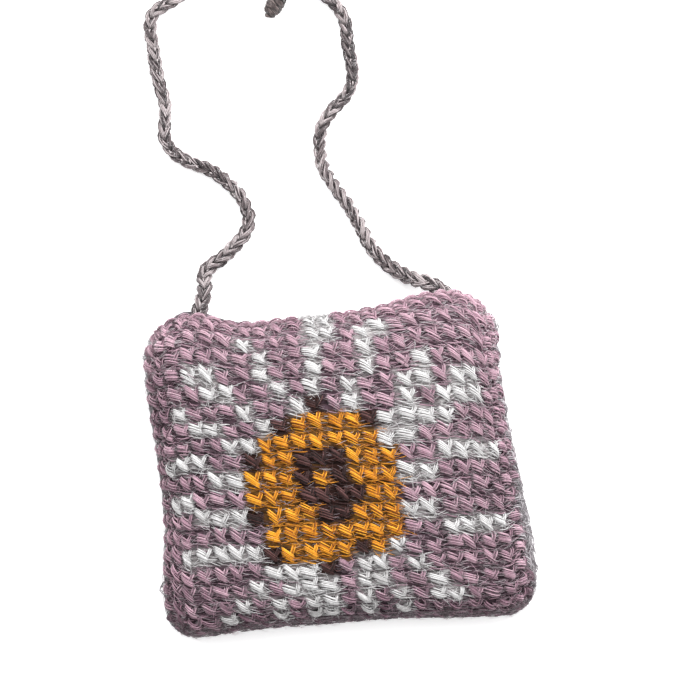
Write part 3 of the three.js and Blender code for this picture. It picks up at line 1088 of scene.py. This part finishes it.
def yarn_material(yarn, dark, middle, light, sheen, glints):
    """Spun yarn: plies from dark to light, soft patches, fibres that wind round each ply with painted shade
    in their grooves, and for some yarns painted glint specks.
    """
    material, tree, shader = new_material(yarn + "_yarn")
    tone = add_node(tree, "Attribute", {}, attribute_name="tone").outputs["Fac"]
    place = add_node(tree, "TexCoord", {}).outputs["Object"]
    cloud = add_node(tree, "TexNoise", {"Scale": 160.0, "Detail": 3.0, "Vector": place})
    spread = calc(tree, "Math", "MULTIPLY_ADD", cloud.outputs["Fac"], PATCH, tone)[0]
    shift = calc(tree, "Math", "SUBTRACT", spread, PATCH / 2)[0]
    ramp = add_node(tree, "ValToRGB", {"Fac": shift})
    ramp.color_ramp.elements[0].color = (*dark, 1)
    ramp.color_ramp.elements[1].color = (*light, 1)
    ramp.color_ramp.elements.new(0.5).color = (*middle, 1)
    ply = add_node(tree, "UVMap", {}, uv_map="ply").outputs["UV"]
    wind = calc(tree, "VectorMath", "DOT_PRODUCT", ply, FIBRE_WINDS)["Value"]
    fibre = calc(tree, "Math", "SINE", wind)[0]
    # Painted shade and highlight: the colour darkens in the grooves between the wound fibres and lightens a
    # little on their crests
    colour = scaled(tree, ramp.outputs["Color"], fibre, {"From Min": -1.0, "To Min": 0.72, "To Max": 1.06})
    bump = add_node(tree, "Bump", {"Strength": 0.35, "Distance": 0.0001, "Height": fibre})
    # Painted glint specks: scattered specks of the base colour set to a light grey, standing in for light
    # glinting off the yarn
    if glints:
        snap = calc(tree, "VectorMath", "SNAP", place, SPECK)["Vector"]
        speck = add_node(tree, "TexWhiteNoise", {"Vector": snap}).outputs["Value"]
        bright = calc(tree, "Math", "GREATER_THAN", speck, glints)[0]
        mixed = {"B": PAINTED_GLINT, "Factor": bright, "A": colour}
        colour = add_node(tree, "Mix", mixed, data_type="RGBA").outputs["Result"]
    set_inputs(tree, shader, {
        "Base Color": colour,
        "Normal": bump.outputs["Normal"],
        "Roughness": 0.82,
        "Sheen Weight": sheen,
        "Sheen Roughness": 0.5,
        "Specular IOR Level": 0.25,
    })
    return material


def shell_material(name):
    """The fabric behind the stitches, darkened as painted shade, with darker streaks along its rows."""
    material, tree, shader = new_material(name)
    place = add_node(tree, "TexCoord", {}).outputs["Object"]
    stretch = add_node(tree, "Mapping", {"Scale": (250, 1500, 700), "Vector": place})
    rows = {"Scale": 1.0, "Detail": 3.0, "Vector": stretch.outputs["Vector"]}
    strands = add_node(tree, "TexNoise", rows).outputs["Fac"]
    depth = add_node(tree, "Attribute", {}, attribute_name="depth").outputs["Color"]
    shade = scaled(tree, depth, strands, {"From Min": 0.35, "From Max": 0.70, "To Min": 0.20})
    bump = add_node(tree, "Bump", {"Strength": 0.8, "Distance": 0.0004, "Height": strands})
    set_inputs(tree, shader, {
        "Base Color": shade,
        "Normal": bump.outputs["Normal"],
        "Roughness": 0.95,
        "Specular IOR Level": 0.1,
    })
    return material


MATERIALS = {row["yarn"]: yarn_material(**row) for row in table(
    "yarn dark middle light sheen glints",
    ("mauve", (0.085, 0.039, 0.058), (0.37, 0.213, 0.274), (0.525, 0.338, 0.402), 0.35, None),
    ("white", (0.49, 0.475, 0.475), (0.61, 0.60, 0.60), (0.67, 0.665, 0.665), 0.35, None),
    ("orange", (0.30, 0.088, 0.005), (0.75, 0.292, 0.012), (0.90, 0.415, 0.030), 0.08, None),
    ("brown", (0.009, 0.0035, 0.003), (0.038, 0.014, 0.013), (0.125, 0.055, 0.052), 0.05, None),
    ("grey", (0.085, 0.072, 0.080), (0.29, 0.257, 0.280), (0.56, 0.53, 0.555), 0.35, 0.93),
    ("cord", (0.040, 0.029, 0.032), (0.163, 0.127, 0.132), (0.46, 0.400, 0.405), 0.3, 0.975),
    # The tail is the cord's yarn; these darker colours are painted shade
    ("tail", (0.018, 0.012, 0.012), (0.052, 0.037, 0.036), (0.15, 0.115, 0.110), 0.35, None),
    ("carried", (0.034, 0.018, 0.025), (0.185, 0.137, 0.158), (0.46, 0.405, 0.43), 0.35, None),
)}

# Strands in the two panels and over the foot
CARRIED_DEPTHS = (-0.0015, -0.0006)
OWN_DEPTHS = (-0.0015, -0.0004)
FOOT_HAIRS = 16
FOOT_DEPTHS = (-0.0008, -0.0001)
FOOT_TONES = (0.05, 0.8)
FOOT_ASTRAY = 0.12
SIDE_HAIRS = 24
SIDE_DEPTHS = (-0.0012, -0.0001)
SIDE_TONES = (0.2, 1.0)
SIDE_ASTRAY = 1.2
BACK_HAIRS = 7
FLAT_MARGIN = 0.6

# Chain-stitched edges of the mouth
FRONT_RIM_LEAN = math.radians(40)
FRONT_RIM_RADIUS = 0.0014
# Painted light: the front rim's links are coloured lighter, like the light at the mouth
FRONT_RIM_PAINTED_LIGHT = 0.12
RIM_FUZZ = 10
RIM_FUZZ_ROW = -0.3
BACK_RIM_DEPTH = 0.0018
BACK_RIM_LEAN = math.radians(-10)
BACK_RIM_DROP = 0.0009
BACK_RIM_RADIUS = 0.0010
BACK_RIM_PLY = 0.00015


def make_front():
    """The front: its shell, carried yarns, charted stitches and edge."""
    fabric = Fabric(1, "front_lip")
    rng = np.random.default_rng(SEED)
    chart = charted_yarn()
    slid = Drifted(fabric)

    def colours(columns, rows):
        right, down = slid.slide(columns, rows)
        places = zip(np.rint(rows - down).ravel(), np.rint(columns - right).ravel())
        found = [SHADED_DEPTHS[chart.get((int(row), int(column)), "mauve")] for row, column in places]
        # Painted shade and light: the darkened colour of each place's yarn, lightened at the mouth and the
        # upper right
        return np.array(found) * (1 + DEPTH_PAINTED_LIGHT * np.maximum(painted_light_and_shade(columns, rows), 0)).reshape(-1, 1)

    base = shell("front_shell", fabric, colours, shell_material("front_depths"), "mauve_yarn", "front_panel")
    cells = panel_cells(fabric)
    groups = {yarn: [] for yarn in ("mauve", "white", "orange", "brown")}
    for column, row in cells:
        groups[chart.get((row, column), "mauve")].append((column, row))
    hairs = Strands()
    for yarn, group in groups.items():
        look = YARNS[yarn]
        add_hairs(hairs, slid, group, look["carried"], *CARRIED_DEPTHS, (0.0, look["carried_light"]), rng)
    foot_row = fabric.last_row() - FOOT_ROWS
    foot = [cell for cell in cells if cell[1] > foot_row]
    add_hairs(hairs, slid, foot, FOOT_HAIRS, *FOOT_DEPTHS, FOOT_TONES, rng, astray=FOOT_ASTRAY)
    pieces = [hairs.piece("front_carried_yarns", "carried")]
    for yarn, group in groups.items():
        look = YARNS[yarn]
        strands = Strands()
        add_stitches(strands, slid, group, look, FRONT_PARTS, FRONT_BASE, foot_row, rng)
        pieces.append(strands.piece("front_stitches_" + yarn, yarn))
        loose = Strands()
        add_hairs(loose, slid, group, look["depths"], *OWN_DEPTHS, (0.0, look["depth_light"]), rng)
        add_fuzz(loose, slid, group, look["fuzz"], rng)
        pieces.append(loose.piece("front_fibres_" + yarn, yarn))
    rim = Rim(fabric, WALL / 2, FRONT_RIM_LEAN)
    loops = {"mauve": [], "white": []}
    for column in rim_columns(fabric):
        loops[chart.get((0, column), "mauve")].append(column)
    for yarn, columns in loops.items():
        edge = Strands()
        starts = (np.array(columns) - 0.5 + RIM_DRIFT) * COLUMN
        add_chain(edge, rim, starts, COLUMN, FRONT_RIM_RADIUS, CHAIN_PLY, rng, EDGE_SHAPES,
                  painted_shading=FRONT_RIM_PAINTED_LIGHT)
        add_fuzz(edge, slid, [(column, RIM_FUZZ_ROW) for column in columns], RIM_FUZZ, rng)
        pieces.append(edge.piece("front_edge_" + yarn, yarn))
    inner = Strands()
    add_inner_rows(inner, fabric, rng)
    pieces.append(inner.piece("front_inner_rows", "carried"))


def make_back():
    """The back: its shell, plain stitches and edge."""
    fabric = Fabric(-1, "back_lip")
    rng = np.random.default_rng(SEED + 1)

    def colours(columns, rows):
        # Painted shade: the grey yarn's darkened colour everywhere
        return np.broadcast_to(np.array(SHADED_DEPTHS["grey"]), (*columns.shape, 3))

    base = shell("back_shell", fabric, colours, shell_material("back_depths"), "grey_yarn", "back_panel")
    strands = Strands()
    cells = panel_cells(fabric)
    under = [cell for cell in cells if FLAT_FIRST - FLAT_MARGIN < cell[0] < FLAT_LAST + FLAT_MARGIN]
    sides = [cell for cell in cells if cell not in under]
    foot_row = fabric.last_row() - FOOT_ROWS
    knobs = [(edge, row) for row in np.arange(1.0, foot_row, KNOB_ROWS) for edge in fabric.edges(row)]
    layers = (under, "grey", UNDER_BASE), (sides, "fine_grey", BACK_BASE), (knobs, "fine_grey", KNOB_BASE)
    for group, yarn, depth in layers:
        add_stitches(strands, fabric, group, YARNS[yarn], BACK_PARTS, depth, foot_row, rng)
    below_lip = [cell for cell in sides if cell[1] > 0]
    add_hairs(strands, fabric, below_lip, SIDE_HAIRS, *SIDE_DEPTHS, SIDE_TONES, rng, astray=SIDE_ASTRAY)
    stitches = strands.piece("back_stitches", "grey")
    hairs = Strands()
    add_hairs(hairs, fabric, cells, BACK_HAIRS, *CARRIED_DEPTHS, (0.0, 1.0), rng)
    carried = hairs.piece("back_carried_yarns", "carried")
    edge = Strands()
    rim = Rim(fabric, BACK_RIM_DEPTH, BACK_RIM_LEAN, drop=BACK_RIM_DROP)
    starts = (rim_columns(fabric)[1:-1] - 0.5) * COLUMN
    add_chain(edge, rim, starts, COLUMN, BACK_RIM_RADIUS, BACK_RIM_PLY, rng, EDGE_SHAPES)
    edge_loops = edge.piece("back_edge_loops", "grey")
    inner = Strands()
    add_inner_rows(inner, fabric, rng)
    inner_rows = inner.piece("back_inner_rows", "grey")


def make_cord(name, route, rolls, node, seed, painted_shades):
    """One stretch of the neck cord in chain stitch."""
    points = smooth_route(route, PATH_STEP)
    line = rolled_line(points, rolls)
    rng = np.random.default_rng(seed)
    strands = Strands()
    last = line.length + END_REACH - LINK_REACH * LINK_PITCH
    starts = np.linspace(0.0, last, round(last / LINK_PITCH) + 1)
    # Painted light and shade along the stretch of cord that shows
    painted_shading = np.interp(starts, np.linspace(0, SHOWN_LENGTH, len(painted_shades)), painted_shades)
    radius = CORD_SWELL * CORD_DIAMETER / 2
    add_chain(strands, line, starts, LINK_PITCH, radius, CHAIN_PLY, rng, foot=FOOT_SWELL, painted_shading=painted_shading)
    add_painted_sparks(strands, line, starts, radius, rng)
    add_core(strands, line, CORD_DIAMETER / 4, CORE_REACH * END_REACH)
    add_sewn_loops(strands, line, rng)
    cord = strands.piece(name, "cord")
    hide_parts(node)
    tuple(route[0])


def make_knot():
    """The knot that closes the loop, and its free end."""
    low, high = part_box("cord_knot")
    centre = np.array((low + high) / 2)
    t = np.linspace(0, TURN, 161)
    loops = stack(np.sin(t) + 2 * np.sin(2 * t), np.cos(t) - 2 * np.cos(2 * t), -np.sin(3 * t))
    strands = Strands()
    line = rolled_line(centre + loops * KNOT_SIZE, KNOT_ROLLS)
    starts = np.arange(0.0, line.length, KNOT_PITCH)
    add_chain(strands, line, starts, KNOT_PITCH, KNOT_RADIUS, CHAIN_PLY, np.random.default_rng(SEED + 4))
    knot = strands.piece("knot", "cord")
    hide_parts("cord_knot")
    strands = Strands()
    start, end = np.array(TAIL_START), np.array(TAIL_END)
    rng = np.random.default_rng(SEED + 5)
    line = rolled_line(np.linspace(start, end, 40), TAIL_ROLLS)
    starts = np.arange(-TAIL_OVERLAP, line.length - TAIL_BARE, LINK_PITCH)
    add_chain(strands, line, starts, LINK_PITCH, TAIL_RADIUS, TAIL_PLY, rng, CORD_SHAPES[:2])
    add_core(strands, line, TAIL_CORE, -CORE_BARE)
    tip = end + TIP_INSET * (start - end) / line.length
    for row in WINDINGS:
        neck = start * WOUND_SHARE + end * (1 - WOUND_SHARE)
        wound = winding(tip, neck, TAIL_RADII, row["turns"])
        along = np.linspace(0, wound.length, WINDING_STEPS)
        lines = stack(along, 0.0, 0.0)[None]
        plies = twist_plies(lines, WINDING_PLIES, row["spread"], WINDING_TWIST, np.zeros(1))
        strands.add(wound, plies, WINDING_PLY, 5, rng.uniform(0, 1, len(plies)))
    # The tail is coloured with the darker copy of the cord's yarn, as painted shade
    tail = strands.piece("tail", "tail")
    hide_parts("cord_tail")
    return [knot, tail]


def make_stage():
    """A pale floor, soft studio light and the camera over the pouch."""
    bpy.ops.mesh.primitive_plane_add(size=6.0, location=(0, 0.08, 0))
    floor = bpy.context.object
    floor.name = "floor"
    material, tree, shader = new_material("pale_floor")
    set_inputs(tree, shader, {
        "Base Color": (0.93, 0.93, 0.93, 1),
        "Roughness": 0.9,
        "Emission Color": (1.0, 1.0, 1.0, 1),
        "Emission Strength": 0.35,
    })
    floor.data.materials.append(material)
    world = bpy.data.worlds.new("studio")
    world.use_nodes = True
    tree = world.node_tree
    ray = add_node(tree, "TexCoord", {}).outputs["Generated"]
    towards = calc(tree, "VectorMath", "DOT_PRODUCT", ray, BRIGHT_SKY)["Value"]
    glow = add_node(tree, "MapRange", {"From Min": -0.45, "To Min": 0.18, "To Max": 2.10, "Value": towards})
    sky = {"Strength": glow.outputs["Result"], "Color": (1.0, 1.0, 1.0, 1)}
    set_inputs(tree, tree.nodes["Background"], sky)
    scene = bpy.context.scene
    scene.world = world
    for row in LIGHTS:
        light = bpy.data.lights.new(row["name"], "AREA")
        light.size = row["size"]
        light.energy = row["power"]
        lamp = bpy.data.objects.new(row["name"], light)
        lamp.location = row["place"]
        aim = LIGHT_AIM - lamp.location
        lamp.rotation_euler = aim.to_track_quat("-Z", "Y").to_euler()
        scene.collection.objects.link(lamp)
    camera = bpy.data.cameras.new("camera")
    camera.sensor_width = SENSOR
    camera.lens = SENSOR * CAMERA_HEIGHT / PHOTO_FIELD
    viewer = bpy.data.objects.new("camera", camera)
    viewer.location = (*PHOTO_CENTRE, CAMERA_HEIGHT)
    viewer.rotation_euler = (0, 0, -PHOTO_TURN)
    scene.collection.objects.link(viewer)
    scene.camera = viewer
    scene.view_settings.view_transform = "Standard"


make_front()
make_back()
knot_pieces = make_knot()
make_cord("neck_cord_left", LONG_ROUTE, LEFT_ROLLS, "neck_cord_long", SEED + 2, LEFT_PAINTED_SHADES)
make_cord("neck_cord_right", SHORT_ROUTE, RIGHT_ROLLS, "neck_cord_short", SEED + 3, RIGHT_PAINTED_SHADES)
make_stage()
